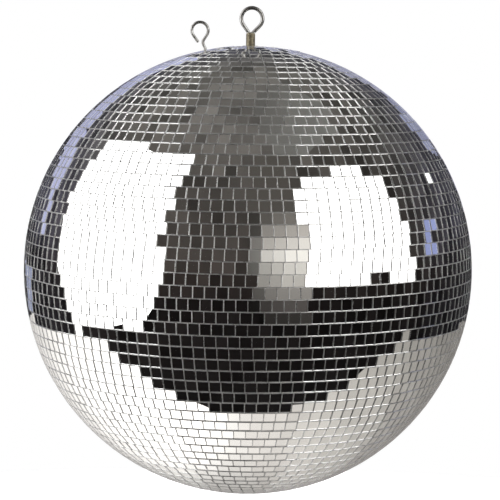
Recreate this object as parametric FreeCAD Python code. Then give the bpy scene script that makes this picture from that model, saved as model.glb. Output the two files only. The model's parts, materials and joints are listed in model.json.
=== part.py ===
import FreeCAD, Part
import math
import os
from FreeCAD import Placement, Rotation, Vector

# Mirror ball, 400 mm across, hung from a swivelling wire eye.
# Millimetres, +Z up. The origin is on the axis that the ball turns about, at the height of
# the inside crown of the hanging eye, where the hook that carries the ball bears.

# ---- driving dimensions: the ball ----
ball_radius = 200.0            # to the corners of the glass tiles
eye_crown_above_ball = 31.8    # inside crown of the hanging eye above the top of the ball
tile_width = 9.1
tile_height = 9.35
tile_thickness = 1.6
tile_pitch = 9.56              # smallest centre distance along a row
cut_tile_gap = 0.45            # gap kept between the tapered tiles towards the poles
row_count = 60
rows_per_band = 3
bare_top_angle = 4.2           # degrees from the top pole to the first row
bare_bottom_angle = 3.0        # degrees from the last row to the bottom pole
row_stagger = 0.618            # share of a tile that each row is shifted from the one above
tile_sag = 0.12                # from a tile's corners to the middle of its face
glue_film = 0.05

# ---- the plastic core ----
shell_wall = 2.5
joint_band_half_height = 12.0
joint_band_bond = 0.3          # adhesive between the band and the shells

# ---- the hanging eye and its ferrule ----
eye_wire = 3.3                 # wire diameter
eye_width = 22.2               # outside of the loop
eye_offset = 1.0               # the loop's centre stands this far right of the axis
eye_left_lean = 35.5           # degrees from vertical
eye_right_lean = 44.0
eye_leg_offset = 1.7           # each leg from the axis
eye_leg_depth = 11.8           # legs inside the ferrule
eye_bend_radius = 2.2
ferrule_diameter = 8.0
ferrule_above_ball = 10.6
ferrule_bore = 6.8
ferrule_mouth_flare = 0.4      # radial, where the legs enter
ferrule_mouth_depth = 0.8
ferrule_bore_depth = 12.0

# ---- the swivel under the top of the ball ----
running_clearance = 0.05       # radial, ferrule in bush
bush_diameter = 12.0
bush_lip_diameter = 13.6
bush_lip_height = 0.5
bush_flange_diameter = 20.0
bush_flange_height = 4.0
top_disc_radius = 12.3         # the washer round the bush
bottom_disc_radius = 10.2      # the mirror disc
pole_seat_margin = 0.3         # flat moulded seat beyond the disc's edge
pole_washer_thickness = 1.7
thrust_washer_diameter = 17.0
thrust_washer_thickness = 1.6
thrust_gap = 0.05
ferrule_nut_across_flats = 13.0
ferrule_nut_height = 6.5
thread_gap = 0.02              # threads are drawn as plain fits
ferrule_pin_diameter = 2.0
ferrule_pin_length = 13.0
ferrule_tail = 5.0             # ferrule below its nut

# ---- the load plate inside the top ----
plate_radius = 52.0
plate_thickness = 2.0
plate_gap = 0.1                # between the core and the plate, and the plate and what it carries
plate_screw_count = 6
plate_screw_angle = 11.0       # degrees from the pole
plate_screw_diameter = 4.0
plate_screw_head = 7.5
plate_screw_head_depth = 2.0
plate_screw_length = 10.0
plate_nut_across_flats = 7.0
plate_nut_height = 3.2
plate_washer_diameter = 9.0
plate_washer_thickness = 0.8
hole_clearance = 0.1           # radial, round screws and the hook's stem

# ---- the safety hook ----
hook_wire = 2.6
hook_width = 17.2              # outside of the loop
hook_stem_x = -40.2
hook_neck_x = -43.0            # the stem bows out to here, under the loop
hook_foot_height = 1.5         # above the tiles, where the stem starts to bow out
hook_loop_x = -45.0
hook_top = -10.1               # top of the loop
hook_free_lean = 36.0          # degrees from vertical
hook_stem_lean = 33.0
hook_free_length = 7.6
hook_bend_radius = 4.5
hook_tile_gap = 2.9            # extra gap between the two tiles beside the stem
hook_boss_diameter = 10.0
hook_boss_height = 4.5
hook_washer_diameter = 7.0
hook_washer_thickness = 0.6
hook_nut_across_flats = 5.0
hook_nut_height = 2.2
hook_tail = 1.6                # stem below its nut

# ---- worked out from the above ----
centre_z = -eye_crown_above_ball - ball_radius
tile_face_radius = ball_radius - tile_sag
tile_back_radius = tile_face_radius - tile_thickness
shell_radius = tile_back_radius - glue_film
shell_inner_radius = shell_radius - shell_wall
top_seat = math.sqrt(shell_radius ** 2 - (top_disc_radius + pole_seat_margin) ** 2)
bottom_seat = -math.sqrt(shell_radius ** 2 - (bottom_disc_radius + pole_seat_margin) ** 2)
plate_outer_radius = shell_inner_radius - plate_gap
plate_inner_radius = plate_outer_radius - plate_thickness
row_angle = math.radians(180 - bare_top_angle - bare_bottom_angle) / row_count
bush_bottom = plate_inner_radius - bush_flange_height - plate_gap
thrust_washer_top = bush_bottom - thrust_gap
ferrule_nut_top = thrust_washer_top - thrust_washer_thickness
ferrule_bottom = ferrule_nut_top - ferrule_nut_height - ferrule_tail
ferrule_top = ball_radius + ferrule_above_ball
ferrule_pin_height = ferrule_bottom + ferrule_tail / 2
hook_boss_bottom = math.sqrt(plate_inner_radius ** 2 - hook_stem_x ** 2) - hook_boss_height
hook_nut_top = hook_boss_bottom - hook_washer_thickness
hook_bottom = hook_nut_top - hook_nut_height - hook_tail

UP = Vector(0, 0, 1)
PARTS = "parts"


# ---- small helpers; heights are measured from the ball's centre ----
def at(x, height):
    return Vector(x, 0, centre_z + height)


def cylinder(diameter, bottom, top, x=0.0):
    return Part.makeCylinder(diameter / 2, top - bottom, at(x, bottom))


def sphere(radius):
    return Part.makeSphere(radius, at(0, 0))


def slab(bottom, top):
    side = 4 * ball_radius
    return Part.makeBox(side, side, top - bottom, at(-side / 2, bottom) - Vector(0, side / 2, 0))


def ring(outer, inner, bottom, top, x=0.0):
    return cylinder(outer, bottom, top, x).cut(cylinder(inner, bottom - 1, top + 1, x))


def hexagon_nut(across_flats, bore, bottom, top, x=0.0):
    corner = across_flats / math.sqrt(3)
    corners = []
    for step in range(7):
        angle = math.radians(60 * step)
        corners.append(at(x, bottom) + Vector(corner * math.cos(angle), corner * math.sin(angle), 0))
    prism = Part.Face(Part.makePolygon(corners)).extrude(Vector(0, 0, top - bottom))
    round_off = cylinder(1.12 * across_flats, bottom, top, x)
    return prism.common(round_off).cut(cylinder(bore, bottom - 1, top + 1, x))


def on_ball(shape, polar, azimuth):
    """Carries a shape that stands on +Z at the origin to its place on the ball; angles in radians."""
    turn = Rotation(UP, math.degrees(azimuth)) * Rotation(Vector(0, 1, 0), math.degrees(polar))
    placed = shape.copy()
    placed.Placement = Placement(at(0, 0), turn)
    return placed


def straight_bend_straight(start, corner, end, radius):
    """Two straight runs joined by a tangent arc of the given radius."""
    to_start = (start - corner).normalize()
    to_end = (end - corner).normalize()
    half_turn = (math.pi - to_start.getAngle(to_end)) / 2
    setback = radius * math.tan(half_turn)
    bisector = (to_start + to_end).normalize()
    arc_start = corner + to_start * setback
    arc_end = corner + to_end * setback
    arc_middle = corner + bisector * (radius / math.cos(half_turn) - radius)
    return [
        Part.makeLine(start, arc_start),
        Part.Arc(arc_start, arc_middle, arc_end).toShape(),
        Part.makeLine(arc_end, end),
    ]


def loop_point(centre, radius, lean, side):
    """Where a straight leg that leans in from the vertical leaves the loop; side is +1 or -1."""
    angle = math.radians(lean)
    return centre + Vector(side * radius * math.cos(angle), 0, -radius * math.sin(angle))


def leg_corner(leaves, lean, leg_x):
    """Where the leaning leg meets the vertical line at leg_x."""
    drop = abs(leaves.x - leg_x) / math.tan(math.radians(lean))
    return Vector(leg_x, 0, leaves.z - drop)


def bent_wire(edges, diameter):
    route = Part.Wire(edges)
    start = edges[0].valueAt(edges[0].FirstParameter)
    heading = edges[0].tangentAt(edges[0].FirstParameter)
    section = Part.Wire(Part.makeCircle(diameter / 2, start, heading))
    return route.makePipeShell([section], True, False)


# ---- the mirror tiles ----
def tile(north_width, south_width):
    """A flat glass tile standing on the ball's surface above the origin; north is -X."""
    half = tile_height / 2
    corners = [
        Vector(-half, -north_width / 2, tile_back_radius),
        Vector(half, -south_width / 2, tile_back_radius),
        Vector(half, south_width / 2, tile_back_radius),
        Vector(-half, north_width / 2, tile_back_radius),
    ]
    face = Part.Face(Part.makePolygon(corners + corners[:1]))
    return face.extrude(Vector(0, 0, tile_thickness))


def row_polar_angle(row):
    return math.radians(bare_top_angle) + (row + 0.5) * row_angle


def row_holds_hook(row):
    stem_angle = math.asin(abs(hook_stem_x) / tile_face_radius)
    return abs(stem_angle - row_polar_angle(row)) <= row_angle / 2


def width_at(radius, share):
    """A tile's width where its row has this radius: full, or cut narrower beside a pole."""
    return min(tile_width, 2 * radius * math.tan(share / 2) - cut_tile_gap)


def tile_row(row):
    polar = row_polar_angle(row)
    radius = tile_back_radius * math.sin(polar)
    edge_step = tile_height / 2 * math.cos(polar)
    hook_angle = hook_tile_gap / radius if row_holds_hook(row) else 0.0
    count = math.floor((2 * math.pi - hook_angle) * radius / tile_pitch)
    share = (2 * math.pi - hook_angle) / count
    pattern = tile(width_at(radius - edge_step, share), width_at(radius + edge_step, share))
    start = (row * row_stagger) % 1.0 * share
    if hook_angle:
        start = math.pi + hook_angle / 2
    return [on_ball(pattern, polar, start + (place + 0.5) * share) for place in range(count)]


def mirror_band(band):
    tiles = []
    for row in range(band * rows_per_band, (band + 1) * rows_per_band):
        tiles.extend(tile_row(row))
    return Part.makeCompound(tiles)


def bottom_mirror():
    face = bottom_seat - glue_film
    return cylinder(2 * bottom_disc_radius, face - tile_thickness, face)


# ---- the plastic core ----
def half_shell(bottom, top):
    return sphere(shell_radius).cut(sphere(shell_inner_radius)).common(slab(bottom, top))


def plate_screw_places():
    step = 2 * math.pi / plate_screw_count
    return [(place + 0.5) * step for place in range(plate_screw_count)]


def at_plate_screws(shape):
    polar = math.radians(plate_screw_angle)
    return [on_ball(shape, polar, azimuth) for azimuth in plate_screw_places()]


def screw_solid(gap):
    """A countersunk screw on +Z, head just under the core's surface, grown by gap for its hole."""
    top = shell_radius - glue_film
    head_bottom = top - plate_screw_head_depth
    shank = plate_screw_diameter / 2 + gap
    head = Part.makeCone(shank, plate_screw_head / 2 + gap, plate_screw_head_depth, UP * head_bottom)
    body = Part.makeCylinder(shank, plate_screw_length, UP * (top - plate_screw_length))
    return head.fuse(body)


def upper_shell():
    shell = half_shell(0, top_seat).cut(cylinder(bush_diameter + 2 * hole_clearance, 0, ball_radius))
    shell = shell.cut(cylinder(hook_wire + 2 * hole_clearance, 0, ball_radius, hook_stem_x))
    rim = Part.makeCylinder(plate_screw_head / 2 + hole_clearance, 1, UP * (shell_radius - glue_film))
    hole = screw_solid(hole_clearance).fuse(rim)
    return shell.cut(Part.makeCompound(at_plate_screws(hole)))


def lower_shell():
    return half_shell(bottom_seat, 0)


def equator_band():
    outer = shell_inner_radius - joint_band_bond
    band = sphere(outer).cut(sphere(outer - shell_wall))
    return band.common(slab(-joint_band_half_height, joint_band_half_height))


# ---- the load plate and its screws ----
def load_plate():
    plate = sphere(plate_outer_radius).cut(sphere(plate_inner_radius))
    plate = plate.common(cylinder(2 * plate_radius, 0, ball_radius))
    plate = plate.cut(cylinder(bush_diameter + 2 * hole_clearance, 0, ball_radius))
    plate = plate.cut(cylinder(hook_wire + 2 * hole_clearance, 0, ball_radius, hook_stem_x))
    shank = plate_screw_diameter / 2 + hole_clearance
    hole = Part.makeCylinder(shank, ball_radius)
    return plate.cut(Part.makeCompound(at_plate_screws(hole)))


def plate_screws():
    return Part.makeCompound(at_plate_screws(screw_solid(0.0)))


def plate_washers():
    top = plate_inner_radius - plate_gap
    bore = plate_screw_diameter + 2 * hole_clearance
    washer = ring(plate_washer_diameter, bore, top - plate_washer_thickness, top)
    washer.translate(Vector(0, 0, -centre_z))
    return Part.makeCompound(at_plate_screws(Part.makeCompound([washer])))


def plate_nuts():
    top = plate_inner_radius - plate_gap - plate_washer_thickness
    bore = plate_screw_diameter + 2 * thread_gap
    nut = hexagon_nut(plate_nut_across_flats, bore, top - plate_nut_height, top)
    nut.translate(Vector(0, 0, -centre_z))
    return Part.makeCompound(at_plate_screws(Part.makeCompound([nut])))


# ---- the swivel ----
def swivel_bush():
    washer_top = top_seat + pole_washer_thickness
    flange = cylinder(bush_flange_diameter, bush_bottom, plate_inner_radius)
    flange = flange.common(sphere(plate_inner_radius - plate_gap))
    barrel = cylinder(bush_diameter, bush_bottom, washer_top)
    lip = cylinder(bush_lip_diameter, washer_top, washer_top + bush_lip_height)
    bore = cylinder(ferrule_diameter + 2 * running_clearance, 0, ball_radius + 1)
    return barrel.fuse(flange).fuse(lip).removeSplitter().cut(bore)


def polar_washer():
    bore = bush_diameter + 2 * hole_clearance
    return ring(2 * top_disc_radius, bore, top_seat, top_seat + pole_washer_thickness)


def eye_ferrule():
    barrel = cylinder(ferrule_diameter, ferrule_bottom, ferrule_top)
    barrel = barrel.cut(cylinder(ferrule_bore, ferrule_top - ferrule_bore_depth, ferrule_top + 1))
    mouth = at(0, ferrule_top - ferrule_mouth_depth)
    narrow = ferrule_bore / 2
    flare = Part.makeCone(narrow, narrow + ferrule_mouth_flare, ferrule_mouth_depth, mouth)
    barrel = barrel.cut(flare)
    return barrel.cut(cross_pin(ferrule_pin_diameter + 2 * thread_gap))


def cross_pin(diameter):
    start = at(0, ferrule_pin_height) - Vector(0, ferrule_pin_length / 2, 0)
    return Part.makeCylinder(diameter / 2, ferrule_pin_length, start, Vector(0, 1, 0))


def ferrule_pin():
    return cross_pin(ferrule_pin_diameter)


def thrust_washer():
    bore = ferrule_diameter + 2 * hole_clearance
    return ring(thrust_washer_diameter, bore, ferrule_nut_top, thrust_washer_top)


def ferrule_nut():
    bore = ferrule_diameter + 2 * thread_gap
    bottom = ferrule_nut_top - ferrule_nut_height
    return hexagon_nut(ferrule_nut_across_flats, bore, bottom, ferrule_nut_top)


def hanging_eye():
    radius = (eye_width - eye_wire) / 2
    crown = Vector(eye_offset, 0, eye_wire / 2)
    centre = crown - UP * radius
    leg_bottom = centre_z + ferrule_top - eye_leg_depth
    right = loop_point(centre, radius, eye_right_lean, 1)
    left = loop_point(centre, radius, eye_left_lean, -1)
    right_corner = leg_corner(right, eye_right_lean, eye_leg_offset)
    left_corner = leg_corner(left, eye_left_lean, -eye_leg_offset)
    right_end = Vector(eye_leg_offset, 0, leg_bottom)
    left_end = Vector(-eye_leg_offset, 0, leg_bottom)
    edges = straight_bend_straight(right_end, right_corner, right, eye_bend_radius)
    edges.append(Part.Arc(right, crown, left).toShape())
    edges.extend(straight_bend_straight(left, left_corner, left_end, eye_bend_radius))
    return bent_wire(edges, eye_wire)


# ---- the safety hook ----
def safety_hook():
    """An open loop on a stem that bows away from the axis between the tiles and the loop."""
    radius = (hook_width - hook_wire) / 2
    top = Vector(hook_loop_x, 0, hook_top - hook_wire / 2)
    centre = top - UP * radius
    right = loop_point(centre, radius, hook_stem_lean, 1)
    left = loop_point(centre, radius, hook_free_lean, -1)
    free_angle = math.radians(hook_free_lean)
    free_end = left + Vector(math.sin(free_angle), 0, -math.cos(free_angle)) * hook_free_length
    foot = at(hook_stem_x, math.sqrt(ball_radius ** 2 - hook_stem_x ** 2) + hook_foot_height)
    neck = leg_corner(right, hook_stem_lean, hook_neck_x)
    midway = (foot + neck) * 0.5
    edges = straight_bend_straight(at(hook_stem_x, hook_bottom), foot, midway, hook_bend_radius)
    edges.extend(straight_bend_straight(midway, neck, right, hook_bend_radius))
    edges.append(Part.Arc(right, top, left).toShape())
    edges.append(Part.makeLine(left, free_end))
    return bent_wire(edges, hook_wire)


def hook_boss():
    bore = hook_wire + 2 * thread_gap
    boss = ring(hook_boss_diameter, bore, hook_boss_bottom, ball_radius, hook_stem_x)
    return boss.common(sphere(plate_inner_radius - plate_gap))


def hook_washer():
    bore = hook_wire + 2 * hole_clearance
    return ring(hook_washer_diameter, bore, hook_nut_top, hook_boss_bottom, hook_stem_x)


def hook_lock_nut():
    bore = hook_wire + 2 * thread_gap
    bottom = hook_nut_top - hook_nut_height
    return hexagon_nut(hook_nut_across_flats, bore, bottom, hook_nut_top, hook_stem_x)


# ---- every node, one file each ----
SINGLE_NODES = [
    hanging_eye,
    eye_ferrule,
    thrust_washer,
    ferrule_nut,
    ferrule_pin,
    swivel_bush,
    polar_washer,
    upper_shell,
    lower_shell,
    equator_band,
    load_plate,
    plate_screws,
    plate_washers,
    plate_nuts,
    safety_hook,
    hook_boss,
    hook_washer,
    hook_lock_nut,
    bottom_mirror,
]


def main():
    os.makedirs(PARTS, exist_ok=True)
    nodes = {make.__name__: make() for make in SINGLE_NODES}
    for band in range(row_count // rows_per_band):
        nodes[f"mirror_band_{band + 1:02d}"] = mirror_band(band)
    for name, shape in nodes.items():
        shape.exportStep(f"{PARTS}/{name}.step")
        print(f"{name}: {len(shape.Solids)} solids, {shape.Volume / 1000:.2f} cm3, valid {shape.isValid()}")


main()
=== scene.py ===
import json
import math
import random

import bmesh
import bpy
from mathutils import Matrix, Vector

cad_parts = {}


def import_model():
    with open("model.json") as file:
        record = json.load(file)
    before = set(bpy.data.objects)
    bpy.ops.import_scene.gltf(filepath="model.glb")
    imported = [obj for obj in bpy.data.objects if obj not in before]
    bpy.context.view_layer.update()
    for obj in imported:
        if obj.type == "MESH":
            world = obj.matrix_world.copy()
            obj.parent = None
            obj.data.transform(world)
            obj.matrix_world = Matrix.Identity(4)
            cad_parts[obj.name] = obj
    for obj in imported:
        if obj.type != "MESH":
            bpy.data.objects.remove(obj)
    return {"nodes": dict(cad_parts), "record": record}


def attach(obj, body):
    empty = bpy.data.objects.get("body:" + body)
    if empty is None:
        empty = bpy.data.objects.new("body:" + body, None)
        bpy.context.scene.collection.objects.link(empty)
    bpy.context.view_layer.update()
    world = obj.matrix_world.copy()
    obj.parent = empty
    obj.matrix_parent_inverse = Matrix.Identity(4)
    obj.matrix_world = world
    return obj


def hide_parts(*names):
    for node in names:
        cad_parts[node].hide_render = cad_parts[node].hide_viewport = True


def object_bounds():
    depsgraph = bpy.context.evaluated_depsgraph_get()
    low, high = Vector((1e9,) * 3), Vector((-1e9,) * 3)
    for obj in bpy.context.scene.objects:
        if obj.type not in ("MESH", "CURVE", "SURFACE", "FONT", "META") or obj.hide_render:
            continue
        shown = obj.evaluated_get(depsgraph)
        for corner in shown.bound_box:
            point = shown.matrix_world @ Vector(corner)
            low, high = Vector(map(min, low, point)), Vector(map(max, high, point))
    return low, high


# A mirror ball hung from its swivel eye, 400 mm across. Metres, in the CAD frame.
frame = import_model()
cad_low, cad_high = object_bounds()
MM = 0.001

BALL_RADIUS = (cad_high.x - cad_low.x) / 2
BALL_CENTRE = Vector((0, 0, cad_low.z + BALL_RADIUS))
BAND_NODES = sorted(name for name in frame["nodes"] if name.startswith("mirror_band_"))

# ---- camera ----
CAMERA_DISTANCE = 8.46 * BALL_RADIUS
CAMERA_ELEVATION = 6.34          # degrees
CAMERA_ROLL = 0.68               # degrees
CAMERA_AIM = (0.0085 * BALL_RADIUS, 0.0864 * BALL_RADIUS)   # right of and above the ball's centre
CAMERA_LENS = 135.5
SENSOR = 36.0

# ---- tiles ----
BEVEL = 0.07 * MM
WELD_DISTANCE = 0.01 * MM
FLAT_ANGLE = 0.5                 # degrees, below which neighbouring faces are one
GLASS_IOR = 1.52
GLASS_THICKNESS = 1.0 * MM       # the rest of a tile's thickness is its backing
SILVER_GAP = 0.01 * MM
LEDGE_ALONG = 0.2 * MM           # how far the backing stands out past the glass along a row
LEDGE_ACROSS = 0.15 * MM         # and between rows
TILT = 0.2                       # degrees, spread of the hand-laid tiles
TILT_LIMIT = 0.6
ROW_TILT = 0.22                  # each row leans a little as a whole
ROW_WAVE = 0.16                  # and that lean drifts along the row
ROW_WAVES = (3, 7)               # full waves round the ball
SLOPE_SHARE = 0.6                # how much of that drift also turns a tile sideways
STRAY_SHARE = 0.01               # tiles that sit clearly askew
STRAY_TILT = 1.8
POLAR_ROWS = 3                   # rows round the neck, laid less evenly
POLAR_TILT = 2.2
TWIST = 0.4                      # degrees, turned in its own plane
SIDE_ON = 0.7                    # a face this level in its normal is one of a tile's snapped sides
SEED = 7
BRAZE_RADIUS = 3.7 * MM
BRAZE_HEIGHT = 1.3 * MM
FIRST_ROW = 5.64                 # polar angle of the first row's middle, degrees
ROW_STEP = 2.88


def grey(level):
    return (level, level, level)


# ---- the studio, in directions from the ball: azimuth 0 is the camera's side, +90 is +X ----
DOME_RADIUS = 9.0
PANEL_DISTANCE = 6.0
SOFTBOX_LIGHT = 4.2
LEFT_SOFTBOX = [
    (-119, 36), (-107, 45), (-88, 51), (-70, 56), (-52, 60), (-43, 52), (-44, 31), (-44, 2),
    (-46, -13), (-52, -21), (-70, -22), (-93, -21), (-95, -25), (-99, -25), (-102, -18), (-108, 1),
    (-114, 15),
]
RIGHT_SOFTBOX = [
    (35, 49), (57, 48), (61, 50), (80, 44), (91, 36), (90, 2), (89, -4), (66, 1), (50, 1), (46, -2),
    (29, -3), (29, 37),
]
# the white paper lies under the ball and runs back behind it; this is its outline. It is drawn as a
# glowing sheet, and its glow is painted light: strongest towards -X, dimmer higher up towards its rim,
# and dimmer towards the back
PAPER_RIM = [
    (-180, -6), (-150, -12), (-120, -20), (-100, -25), (-86, -27), (-78, -30), (-70, -40), (-60, -50),
    (-47, -57), (-30, -65), (0, -68), (35, -65), (45, -61), (60, -55), (70, -47), (75, -38), (83, -30),
    (93, -22), (110, -21), (125, -18), (150, -12),
]
PAPER_PAINTED_LIGHT_ACROSS = [
    (0, (2.45, 2.36, 2.31)), (0.35, (2.10, 2.02, 1.96)), (0.455, (1.06, 1.02, 0.98)),
    (0.52, (0.92, 0.87, 0.83)), (0.66, (0.76, 0.72, 0.68)), (1, (0.56, 0.53, 0.49)),
]
PAPER_PAINTED_LIGHT_UP = [
    (0, grey(1.0)), (0.25, grey(0.95)), (0.55, grey(0.76)), (0.8, grey(0.60)), (1, grey(0.52)),
]
PAPER_PAINTED_LIGHT_BACK = [(0, grey(1.0)), (0.35, grey(1.0)), (0.65, grey(0.78)), (1, grey(0.66))]
LEFT_WINDOW = [
    (-172, 30), (-162, 25), (-152, 22), (-138, 20), (-131, 17), (-128, 3), (-136, 3), (-138, 9),
    (-150, 10), (-172, 10),
]
LOW_WINDOW = [(-158, -5), (-141, -6), (-141, -11), (-156, -11)]
RIGHT_WINDOW = [(98.5, 11.5), (104.5, 14.5), (118, 11.5), (117.5, 8.5), (110, 9), (109, 3.5), (98.5, 4)]
FAR_WINDOW = [(150, 21), (160, 17), (170, 8), (160, 6), (148, 14)]
BACK_GLOW = [(165, 22), (180, 22), (188, 12), (188, -12), (172, -12), (165, 4)]
SMALL_LAMP = [(122.5, 21), (130.5, 19), (131, 16), (123, 18)]
# painted light: the door, the wall and the ceiling are glowing sheets, not lit surfaces; the door's
# glow peaks in a bright band part way up and grows towards +X, the ceiling's grows towards +X
DOOR_PAINTED_LIGHT_OUTLINE = [(2, 33), (15, 34), (30, 33), (30, -20), (15, -20), (2, -20)]
WALL_PAINTED_LIGHT_OUTLINE = [(0, 62), (30, 62), (30, 33), (15, 34), (0, 33)]
WALL_PAINTED_LIGHT_COLOUR = (0.088, 0.080, 0.072)
CEILING_PAINTED_LIGHT_OUTLINE = [(25, 64), (60, 60), (95, 58), (130, 60), (165, 66), (180, 80), (90, 87), (20, 82)]
CEILING_SPAN = [(0, (0.110, 0.106, 0.100)), (0.4, (0.165, 0.160, 0.150)), (1, (0.190, 0.185, 0.175))]
DOOR_HEIGHT = [
    (0, (0.012, 0.011, 0.010)), (0.22, (0.10, 0.09, 0.085)), (0.42, (0.60, 0.57, 0.53)),
    (0.60, (1.0, 0.96, 0.90)), (0.74, (0.62, 0.58, 0.54)), (0.88, (0.26, 0.24, 0.22)),
    (1, (0.12, 0.11, 0.10)),
]
DOOR_SPAN = [(0, grey(0.05)), (0.16, grey(0.50)), (0.5, grey(0.85)), (1, grey(1.15))]
# the room's glow by height, on the camera's side and behind the ball: painted light and shade
FRONT_ROOM = [
    (0, (0.009, 0.008, 0.008)), (0.41, (0.011, 0.009, 0.009)), (0.5, (0.030, 0.024, 0.022)),
    (0.6, (0.056, 0.048, 0.044)), (0.85, (0.062, 0.056, 0.051)), (0.93, (0.105, 0.096, 0.088)),
    (1, (0.150, 0.140, 0.130)),
]
BACK_ROOM = [
    (0, (0.02, 0.02, 0.02)), (0.48, (0.018, 0.017, 0.022)), (0.53, (0.045, 0.045, 0.065)),
    (0.66, (0.060, 0.060, 0.085)), (0.78, (0.085, 0.083, 0.090)), (0.9, (0.13, 0.125, 0.115)),
    (1, (0.17, 0.165, 0.155)),
]
ROOM_CLUTTER = 9.0               # how fine the patches of light and dark in the room are
CLUTTER_DARK, CLUTTER_LIGHT = 0.55, 1.4
ROOM_LEFT, ROOM_RIGHT = 1.3, 0.7  # painted light: the room's glow is stronger towards -X
# the room is white behind the ball, and pale grey on the camera's side, so that white reflections
# still end at the ball's edge in views from there; by direction, and along the floor's depth
BACKDROP = [(0, grey(0.80)), (0.35, grey(0.80)), (0.8, grey(1.0))]
FLOOR_TONE = [(0, grey(0.42)), (0.55, grey(0.42)), (0.85, grey(1.0))]
FLOOR_DROP = 0.6
FLOOR_RADIUS = 1.9
FLOOR_SIDES = 64
FLOOR_GLOW = 0.5                 # a painted glow, as of a softly lit sweep, so that the floor reads nearly white


# ---- node helpers ----
def new_material(name):
    material = bpy.data.materials.new(name)
    material.use_nodes = True
    material.node_tree.nodes.clear()
    return material, material.node_tree


def add(tree, kind, **settings):
    made = tree.nodes.new("ShaderNode" + kind)
    for key, value in settings.items():
        setattr(made, key, value)
    return made


def finish_surface(tree, shader):
    output = add(tree, "OutputMaterial")
    tree.links.new(shader.outputs[0], output.inputs["Surface"])


def principled(tree, **values):
    shader = add(tree, "BsdfPrincipled")
    for key, value in values.items():
        shader.inputs[key.replace("_", " ")].default_value = value
    return shader


def place_along(tree, axis):
    """From 0 to 1 along one axis of a mesh's box, or the part of a direction along it for the world."""
    where = add(tree, "TexCoord")
    split = add(tree, "SeparateXYZ")
    tree.links.new(where.outputs["Generated"], split.inputs[0])
    return split.outputs[axis]


def noise(tree, scale, detail=4.0, roughness=0.55, distortion=0.0):
    where = add(tree, "TexCoord")
    made = add(tree, "TexNoise")
    made.inputs["Scale"].default_value = scale
    made.inputs["Detail"].default_value = detail
    made.inputs["Roughness"].default_value = roughness
    made.inputs["Distortion"].default_value = distortion
    tree.links.new(where.outputs["Object"], made.inputs["Vector"])
    return made.outputs["Fac"]


def ramp(tree, source, stops):
    made = add(tree, "ValToRGB")
    elements = made.color_ramp.elements
    while len(elements) < len(stops):
        elements.new(0.5)
    for element, (position, colour) in zip(elements, stops):
        element.position = position
        element.color = (*colour, 1)
    tree.links.new(source, made.inputs["Fac"])
    return made.outputs["Color"]


def spread(tree, source, low, high, from_low=0.3, from_high=0.7):
    made = add(tree, "MapRange")
    made.inputs["From Min"].default_value = from_low
    made.inputs["From Max"].default_value = from_high
    made.inputs["To Min"].default_value = low
    made.inputs["To Max"].default_value = high
    tree.links.new(source, made.inputs["Value"])
    return made.outputs["Result"]


def bump(tree, shader, source, strength, distance):
    made = add(tree, "Bump")
    made.inputs["Strength"].default_value = strength
    made.inputs["Distance"].default_value = distance
    tree.links.new(source, made.inputs["Height"])
    tree.links.new(made.outputs["Normal"], shader.inputs["Normal"])


def uneven(tree, source):
    """A pattern that is also stronger on some tiles than on others."""
    tone = add(tree, "Attribute", attribute_name="tile_tone")
    made = add(tree, "Mix")
    made.inputs["Factor"].default_value = 0.5
    numbers = [socket for socket in made.inputs if socket.type == "VALUE" and socket.name in ("A", "B")]
    tree.links.new(source, numbers[0])
    tree.links.new(tone.outputs["Fac"], numbers[1])
    return made.outputs["Result"]


# ---- materials of the object ----
def silvering():
    """The silver on the back of a tile, seen through its glass."""
    material, tree = new_material("silvering")
    shader = principled(tree, Metallic=1.0)
    tone = add(tree, "Attribute", attribute_name="tile_tone")
    colour = ramp(tree, tone.outputs["Fac"], [(0, (0.86, 0.86, 0.85)), (1, (0.97, 0.97, 0.96))])
    tree.links.new(colour, shader.inputs["Base Color"])
    tree.links.new(spread(tree, noise(tree, 40.0, 6.0), 0.0, 0.008), shader.inputs["Roughness"])
    finish_surface(tree, shader)
    return material


def clear_glass():
    material, tree = new_material("clear_glass")
    shader = principled(tree, Transmission_Weight=1.0, IOR=GLASS_IOR)
    smears = noise(tree, 60.0, 6.0)
    colour = ramp(tree, smears, [(0.35, (0.965, 0.975, 0.97)), (0.7, (0.985, 0.99, 0.985))])
    tree.links.new(colour, shader.inputs["Base Color"])
    tree.links.new(spread(tree, smears, 0.0, 0.006), shader.inputs["Roughness"])
    finish_surface(tree, shader)
    return material


def glass_edge(name, clear, shade, smoothest, roughest, relief):
    """A cut side of a tile: clean along the score, frosted where strips were snapped into tiles."""
    material, tree = new_material(name)
    shader = principled(tree, Transmission_Weight=clear, IOR=GLASS_IOR)
    chips = uneven(tree, noise(tree, 2600.0, 3.0))
    colour = ramp(tree, chips, [(0.3, grey(0.85 * shade)), (0.7, grey(shade))])
    tree.links.new(colour, shader.inputs["Base Color"])
    tree.links.new(spread(tree, chips, smoothest, roughest), shader.inputs["Roughness"])
    bump(tree, shader, chips, relief, 0.03 * MM)
    finish_surface(tree, shader)
    return material


def tile_backing():
    """The foil-faced backing of a tile, seen in the gaps."""
    material, tree = new_material("tile_backing")
    shader = principled(tree)
    paint = noise(tree, 600.0, 4.0)
    colour = ramp(tree, paint, [(0.35, (0.68, 0.67, 0.66)), (0.65, (0.90, 0.89, 0.88))])
    tree.links.new(colour, shader.inputs["Base Color"])
    tree.links.new(spread(tree, paint, 1.0, 0.88), shader.inputs["Metallic"])
    tree.links.new(spread(tree, paint, 0.22, 0.42), shader.inputs["Roughness"])
    finish_surface(tree, shader)
    return material


def core_plastic():
    material, tree = new_material("core_plastic")
    shader = principled(tree)
    glue = noise(tree, 150.0, 5.0, distortion=0.4)
    colour = ramp(tree, glue, [(0.35, (0.17, 0.17, 0.165)), (0.62, (0.33, 0.33, 0.32))])
    tree.links.new(colour, shader.inputs["Base Color"])
    tree.links.new(spread(tree, glue, 0.35, 0.7), shader.inputs["Roughness"])
    bump(tree, shader, glue, 0.3, 0.15 * MM)
    finish_surface(tree, shader)
    return material


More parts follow.
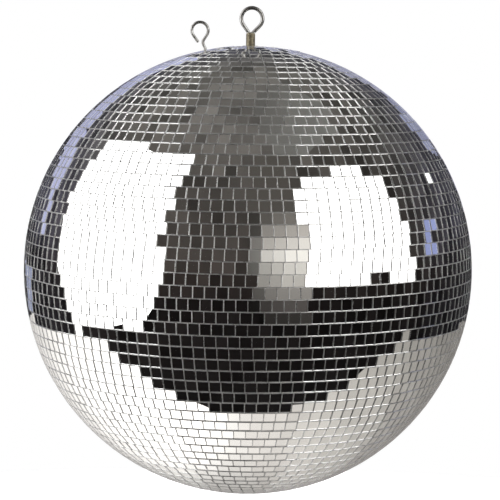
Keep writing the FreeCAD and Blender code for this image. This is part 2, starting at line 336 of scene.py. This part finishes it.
def chrome_wire():
    material, tree = new_material("chrome_wire")
    shader = principled(tree, Metallic=1.0)
    wear = noise(tree, 320.0, 6.0, distortion=0.6)
    stops = [(0.32, (0.13, 0.12, 0.11)), (0.5, (0.22, 0.215, 0.205)), (0.7, (0.33, 0.33, 0.32))]
    tree.links.new(ramp(tree, wear, stops), shader.inputs["Base Color"])
    tree.links.new(spread(tree, wear, 0.42, 0.2), shader.inputs["Roughness"])
    bump(tree, shader, noise(tree, 1800.0, 3.0), 0.15, 0.03 * MM)
    finish_surface(tree, shader)
    return material


def aged_brass():
    material, tree = new_material("aged_brass")
    shader = principled(tree)
    stains = noise(tree, 410.0, 7.0, 0.65, 1.2)
    stops = [
        (0.3, (0.028, 0.025, 0.020)),
        (0.45, (0.085, 0.068, 0.042)),
        (0.56, (0.17, 0.145, 0.090)),
        (0.7, (0.27, 0.25, 0.20)),
    ]
    tree.links.new(ramp(tree, stains, stops), shader.inputs["Base Color"])
    tree.links.new(spread(tree, stains, 0.2, 0.8), shader.inputs["Metallic"])
    tree.links.new(spread(tree, stains, 0.65, 0.34), shader.inputs["Roughness"])
    bump(tree, shader, stains, 0.5, 0.12 * MM)
    finish_surface(tree, shader)
    return material


def zinc_steel():
    material, tree = new_material("zinc_steel")
    shader = principled(tree, Metallic=1.0)
    spangle = noise(tree, 520.0, 5.0)
    colour = ramp(tree, spangle, [(0.35, (0.34, 0.35, 0.35)), (0.65, (0.54, 0.54, 0.53))])
    tree.links.new(colour, shader.inputs["Base Color"])
    tree.links.new(spread(tree, spangle, 0.28, 0.48), shader.inputs["Roughness"])
    bump(tree, shader, spangle, 0.1, 0.04 * MM)
    finish_surface(tree, shader)
    return material


SILVER = silvering()
GLASS = clear_glass()
SCORED = glass_edge("scored_edge", 0.28, 0.5, 0.03, 0.12, 0.1)
SNAPPED = glass_edge("snapped_edge", 0.75, 0.78, 0.2, 0.4, 0.4)
BACKING = tile_backing()
TILE_MATERIALS = [GLASS, SCORED, SILVER, BACKING, SNAPPED]
AS_GLASS, AS_SCORED, AS_SILVER, AS_BACKING, AS_SNAPPED = range(len(TILE_MATERIALS))
SLOT_MATERIALS = {
    "mirror_glass": SILVER,
    "chrome_wire": chrome_wire(),
    "aged_brass": aged_brass(),
    "zinc_steel": zinc_steel(),
    "core_plastic": core_plastic(),
}


# ---- mirror tiles ----
def islands(mesh):
    """The separate tiles of a mesh, each as a list of vertices, in order of place."""
    found = []
    seen = set()
    for start in mesh.verts:
        if start in seen:
            continue
        group = [start]
        seen.add(start)
        for vertex in group:
            for edge in vertex.link_edges:
                other = edge.other_vert(vertex)
                if other not in seen:
                    seen.add(other)
                    group.append(other)
        found.append(group)
    return sorted(found, key=lambda group: place_key(middle(group)))


def middle(group):
    return sum((vertex.co for vertex in group), Vector()) / len(group)


def surface_axes(point):
    """Straight out of the ball at a point, and level along the row there."""
    outward = (point - BALL_CENTRE).normalized()
    return outward, outward.cross(Vector((0, 0, 1))).normalized()


def place_key(point):
    return round(point.z, 3), round(math.atan2(point.y, point.x), 3)


def row_lean(row):
    """How one whole row leans: a steady part and a slow wave along it, each about two axes."""
    draw = random.Random(SEED * 1000 + row)
    steady = draw.gauss(0, ROW_TILT)
    waves = []
    for count in ROW_WAVES:
        waves.append((count, draw.gauss(0, ROW_WAVE), draw.uniform(0, 2 * math.pi)))
    return steady, waves


def lay_by_hand(group, draw):
    """Turns one tile a little out of true: with its row, and by itself."""
    centre = middle(group)
    outward, level = surface_axes(centre)
    slope = outward.cross(level)
    row = round((math.degrees(math.acos(outward.z)) - FIRST_ROW) / ROW_STEP)
    steady, waves = row_lean(row)
    around = math.atan2(centre.y, centre.x)
    drift = sum(size * math.sin(count * around + phase) for count, size, phase in waves)
    size, limit = TILT, TILT_LIMIT
    if draw.random() < STRAY_SHARE:
        size = limit = STRAY_TILT
    if row < POLAR_ROWS:
        size, limit = POLAR_TILT, 2 * POLAR_TILT
    turn = Matrix.Identity(3)
    for axis, shared in ((level, steady + drift), (slope, SLOPE_SHARE * drift)):
        own = max(-limit, min(limit, draw.gauss(0, size)))
        turn = Matrix.Rotation(math.radians(shared + own), 3, axis) @ turn
    turn = Matrix.Rotation(math.radians(draw.gauss(0, TWIST)), 3, outward) @ turn
    for vertex in group:
        vertex.co = centre + turn @ (vertex.co - centre)


def back_up(mesh, front, back, level, shade, tone):
    """Lifts a tile's silvered back to the glass's own thickness, and fills the room left.

    The filling is a closed backing that stands out a little past the glass."""
    normal = front.normal.copy()
    depth = (front.calc_center_median() - back.calc_center_median()).dot(normal)
    lift = depth - GLASS_THICKNESS
    centre = back.calc_center_median()
    slope = normal.cross(level)
    low = []
    for vertex in back.verts:
        arm = vertex.co - centre
        along = math.copysign(LEDGE_ALONG, arm.dot(level))
        across = math.copysign(LEDGE_ACROSS, arm.dot(slope))
        low.append(vertex.co + level * along + slope * across)
        vertex.co += normal * lift
    back.material_index = AS_SILVER
    top = [mesh.verts.new(point + normal * (lift - SILVER_GAP)) for point in low]
    bottom = [mesh.verts.new(point) for point in low]
    count = len(low)
    faces = [mesh.faces.new(bottom), mesh.faces.new(top[::-1])]
    for place in range(count):
        after = (place + 1) % count
        faces.append(mesh.faces.new((bottom[after], bottom[place], top[place], top[after])))
    for face in faces:
        face.material_index = AS_BACKING
        face[tone] = shade


def tile_band(number, node):
    draw = random.Random(SEED * 100 + number)
    mesh = bmesh.new()
    mesh.from_mesh(frame["nodes"][node].data)
    bmesh.ops.remove_doubles(mesh, verts=mesh.verts, dist=WELD_DISTANCE)
    flat = math.radians(FLAT_ANGLE)
    bmesh.ops.dissolve_limit(mesh, angle_limit=flat, verts=mesh.verts, edges=mesh.edges)
    tone = mesh.faces.layers.float.new("tile_tone")
    faces = []
    for group in islands(mesh):
        lay_by_hand(group, draw)
        shade = draw.random()
        own = {face for vertex in group for face in vertex.link_faces}
        outward, level = surface_axes(middle(group))
        for face in own:
            face[tone] = shade
            face.normal_update()
            snapped = abs(face.normal.dot(level)) > SIDE_ON
            face.material_index = AS_SNAPPED if snapped else AS_SCORED
        front = max(own, key=lambda face: face.normal.dot(outward))
        front.material_index = AS_GLASS
        back = min(own, key=lambda face: face.normal.dot(outward))
        back_up(mesh, front, back, level, shade, tone)
        faces.append(front)
    edges = list({edge for face in faces for edge in face.edges})
    rounded = bmesh.ops.bevel(
        mesh, geom=edges, offset=BEVEL, segments=2, profile=0.5, affect="EDGES", material=AS_SCORED
    )
    for face in rounded["faces"]:
        outward, level = surface_axes(face.calc_center_median())
        slope = outward.cross(level)
        sideways = abs(face.normal.dot(level)) > abs(face.normal.dot(slope))
        if face.material_index == AS_SCORED and sideways:
            face.material_index = AS_SNAPPED
    data = bpy.data.meshes.new(f"tiles_{number:02d}")
    for face in mesh.faces:
        face.smooth = False
    mesh.to_mesh(data)
    mesh.free()
    for name in ("custom_normal", "sharp_edge"):
        if name in data.attributes:
            data.attributes.remove(data.attributes[name])
    piece = bpy.data.objects.new(f"tiles_{number:02d}", data)
    bpy.context.scene.collection.objects.link(piece)
    for material in TILE_MATERIALS:
        data.materials.append(material)
    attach(piece, "ball")
    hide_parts(node)


# ---- carried-over CAD nodes ----
def dress_cad_nodes():
    slots = {row["node"]: row["material_slot"] for row in frame["record"]["subparts"]}
    for name, node in frame["nodes"].items():
        node.data.materials.clear()
        node.data.materials.append(SLOT_MATERIALS[slots[name]])


# ---- brazing where the eye's legs enter the ferrule ----
def brazing():
    """A low, uneven collar of brazing metal on the ferrule's mouth, round both legs."""
    ferrule = frame["nodes"]["eye_ferrule"]
    top = max((ferrule.matrix_world @ vertex.co).z for vertex in ferrule.data.vertices)
    draw = random.Random(SEED)
    mesh = bmesh.new()
    bmesh.ops.create_uvsphere(mesh, u_segments=32, v_segments=16, radius=1.0)
    bumps = [(draw.randint(2, 5), draw.uniform(0, 6.28), draw.uniform(0.03, 0.08)) for _ in range(4)]
    for vertex in mesh.verts:
        angle = math.atan2(vertex.co.y, vertex.co.x)
        swell = 1 + sum(size * math.sin(count * angle + phase) for count, phase, size in bumps)
        vertex.co.x *= BRAZE_RADIUS * swell
        vertex.co.y *= BRAZE_RADIUS * swell
        vertex.co.z *= BRAZE_HEIGHT * swell
        vertex.co.z += top
    for face in mesh.faces:
        face.smooth = True
    data = bpy.data.meshes.new("eye_brazing")
    mesh.to_mesh(data)
    mesh.free()
    piece = bpy.data.objects.new("eye_brazing", data)
    bpy.context.scene.collection.objects.link(piece)
    data.materials.append(SLOT_MATERIALS["aged_brass"])
    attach(piece, "hanger")


# ---- the studio ----
def direction(azimuth, elevation):
    a = math.radians(azimuth)
    e = math.radians(elevation)
    return Vector((math.sin(a) * math.cos(e), -math.cos(a) * math.cos(e), math.sin(e)))


def glow(name, colour, strength):
    material, tree = new_material(name)
    shader = add(tree, "Emission")
    shader.inputs["Color"].default_value = (*colour, 1)
    shader.inputs["Strength"].default_value = strength
    finish_surface(tree, shader)
    return material


def staged(name, vertices, faces, material):
    data = bpy.data.meshes.new(name)
    data.from_pydata(vertices, [], faces)
    data.materials.append(material)
    made = bpy.data.objects.new(name, data)
    bpy.context.scene.collection.objects.link(made)
    return made


def unseen(made):
    """Only reflections and light see it, so that it never stands before a camera."""
    made.visible_camera = False
    return made


def panel(name, corners, material, distance=PANEL_DISTANCE):
    points = [BALL_CENTRE + direction(*corner) * distance for corner in corners]
    return unseen(staged(name, points, [tuple(range(len(points)))], material))


def graded(name, *gradients):
    """A glow that changes over its panel: the product of a colour ramp along each axis given."""
    material, tree = new_material(name)
    shader = add(tree, "Emission")
    colour = None
    for axis, stops in gradients:
        level = ramp(tree, place_along(tree, axis), stops)
        if colour:
            both = add(tree, "VectorMath", operation="MULTIPLY")
            tree.links.new(colour, both.inputs[0])
            tree.links.new(level, both.inputs[1])
            level = both.outputs["Vector"]
        colour = level
    tree.links.new(colour, shader.inputs["Color"])
    finish_surface(tree, shader)
    return material


# The room round the ball is a glowing dome: its glow is painted light and shade, graded by height and
# from front to back, stronger towards -X, and broken into patches.
def dome():
    mesh = bmesh.new()
    bmesh.ops.create_icosphere(mesh, subdivisions=4, radius=DOME_RADIUS)
    data = bpy.data.meshes.new("room_painted_light_and_shade")
    mesh.to_mesh(data)
    mesh.free()
    material, tree = new_material("room_painted_light_and_shade")
    where = add(tree, "TexCoord")
    level = add(tree, "VectorMath", operation="NORMALIZE")
    tree.links.new(where.outputs["Object"], level.inputs[0])
    split = add(tree, "SeparateXYZ")
    tree.links.new(level.outputs["Vector"], split.inputs[0])
    height = spread(tree, split.outputs["Z"], 0.0, 1.0, -1.0, 1.0)
    front = ramp(tree, height, FRONT_ROOM)
    back = ramp(tree, height, BACK_ROOM)
    mix = add(tree, "Mix", data_type="RGBA")
    tree.links.new(spread(tree, split.outputs["Y"], 0.0, 1.0, 0.0, 0.9), mix.inputs["Factor"])
    colours = [socket for socket in mix.inputs if socket.type == "RGBA"]
    tree.links.new(front, colours[0])
    tree.links.new(back, colours[1])
    mixed = [socket for socket in mix.outputs if socket.type == "RGBA"][0]
    clutter = add(tree, "TexNoise")
    clutter.inputs["Scale"].default_value = ROOM_CLUTTER
    tree.links.new(level.outputs["Vector"], clutter.inputs["Vector"])
    patches = spread(tree, clutter.outputs["Fac"], CLUTTER_DARK, CLUTTER_LIGHT, 0.35, 0.62)
    side = spread(tree, split.outputs["X"], ROOM_LEFT, ROOM_RIGHT, -1.0, 1.0)
    strength = add(tree, "Math", operation="MULTIPLY")
    tree.links.new(patches, strength.inputs[0])
    tree.links.new(side, strength.inputs[1])
    shader = add(tree, "Emission")
    tree.links.new(mixed, shader.inputs["Color"])
    tree.links.new(strength.outputs[0], shader.inputs["Strength"])
    finish_surface(tree, shader)
    data.materials.append(material)
    made = bpy.data.objects.new("room_painted_light_and_shade", data)
    made.location = BALL_CENTRE
    bpy.context.scene.collection.objects.link(made)
    return unseen(made)


def bowl(name, rim, material):
    """A sheet under the ball, a fan from straight below, with its outline given in directions."""
    points = [BALL_CENTRE + direction(*corner) * PANEL_DISTANCE for corner in rim]
    points.append(BALL_CENTRE + direction(0, -90) * PANEL_DISTANCE)
    fan = [(place, (place + 1) % len(rim), len(rim)) for place in range(len(rim))]
    return unseen(staged(name, points, fan, material))


def studio():
    dome()
    panel("softbox_left", LEFT_SOFTBOX, glow("softbox_left", (1.0, 0.995, 0.99), SOFTBOX_LIGHT))
    panel("softbox_right", RIGHT_SOFTBOX, glow("softbox_right", (1.0, 0.99, 0.98), SOFTBOX_LIGHT))
    # painted light: door, wall and ceiling glow as if lit
    door = graded("door_painted_light", ("Z", DOOR_HEIGHT), ("X", DOOR_SPAN))
    panel("door_painted_light", DOOR_PAINTED_LIGHT_OUTLINE, door)
    panel("wall_painted_light", WALL_PAINTED_LIGHT_OUTLINE, glow("wall_painted_light", WALL_PAINTED_LIGHT_COLOUR, 1.0))
    panel("ceiling_painted_light", CEILING_PAINTED_LIGHT_OUTLINE, graded("ceiling_painted_light", ("X", CEILING_SPAN)))
    panel("left_window", LEFT_WINDOW, glow("left_window", (0.50, 0.52, 0.76), 1.0))
    panel("low_window", LOW_WINDOW, glow("low_window", (0.36, 0.39, 0.54), 1.0))
    panel("right_window", RIGHT_WINDOW, glow("right_window", (0.32, 0.36, 0.64), 1.0))
    panel("far_window", FAR_WINDOW, glow("far_window", (0.32, 0.34, 0.50), 1.0))
    panel("back_glow", BACK_GLOW, glow("back_glow", (0.42, 0.43, 0.58), 1.0))
    panel("small_lamp", SMALL_LAMP, glow("small_lamp", (1.0, 1.0, 1.0), 2.0))
    # painted light: the paper glows, graded across, up and back, instead of being lit
    paper = graded("paper", ("X", PAPER_PAINTED_LIGHT_ACROSS), ("Z", PAPER_PAINTED_LIGHT_UP), ("Y", PAPER_PAINTED_LIGHT_BACK))
    bowl("paper", PAPER_RIM, paper)


def floor():
    z = BALL_CENTRE.z - FLOOR_DROP
    rim = []
    for step in range(FLOOR_SIDES):
        angle = 2 * math.pi * step / FLOOR_SIDES
        rim.append(Vector((FLOOR_RADIUS * math.cos(angle), FLOOR_RADIUS * math.sin(angle), z)))
    material, tree = new_material("pale_floor")
    # the floor's glow is painted light, with the same tone as its colour
    shader = principled(tree, Roughness=0.9, Emission_Strength=FLOOR_GLOW)
    tone = ramp(tree, place_along(tree, "Y"), FLOOR_TONE)
    tree.links.new(tone, shader.inputs["Base Color"])
    tree.links.new(tone, shader.inputs["Emission Color"])
    finish_surface(tree, shader)
    made = staged("floor", rim, [tuple(range(FLOOR_SIDES))], material)
    made.visible_glossy = False
    made.visible_transmission = False
    made.visible_diffuse = False
    made.visible_shadow = False


def world():
    made = bpy.data.worlds.new("studio")
    made.use_nodes = True
    tree = made.node_tree
    tone = ramp(tree, place_along(tree, "Y"), BACKDROP)
    tree.links.new(tone, tree.nodes["Background"].inputs["Color"])
    bpy.context.scene.world = made


def camera():
    data = bpy.data.cameras.new("camera")
    data.lens = CAMERA_LENS
    data.sensor_width = SENSOR
    made = bpy.data.objects.new("camera", data)
    bpy.context.scene.collection.objects.link(made)
    place = BALL_CENTRE + direction(0, CAMERA_ELEVATION) * CAMERA_DISTANCE
    right = Vector((1, 0, 0))
    up = right.cross(BALL_CENTRE - place).normalized()
    aim = BALL_CENTRE + right * CAMERA_AIM[0] + up * CAMERA_AIM[1]
    look = (aim - place).to_track_quat("-Z", "Y").to_matrix().to_4x4()
    roll = Matrix.Rotation(math.radians(CAMERA_ROLL), 4, "Z")
    made.matrix_world = Matrix.Translation(place) @ look @ roll
    bpy.context.scene.camera = made


camera()
world()
studio()
floor()
dress_cad_nodes()
for number, node in enumerate(BAND_NODES, start=1):
    tile_band(number, node)
brazing()
bpy.context.scene.view_settings.view_transform = "Standard"
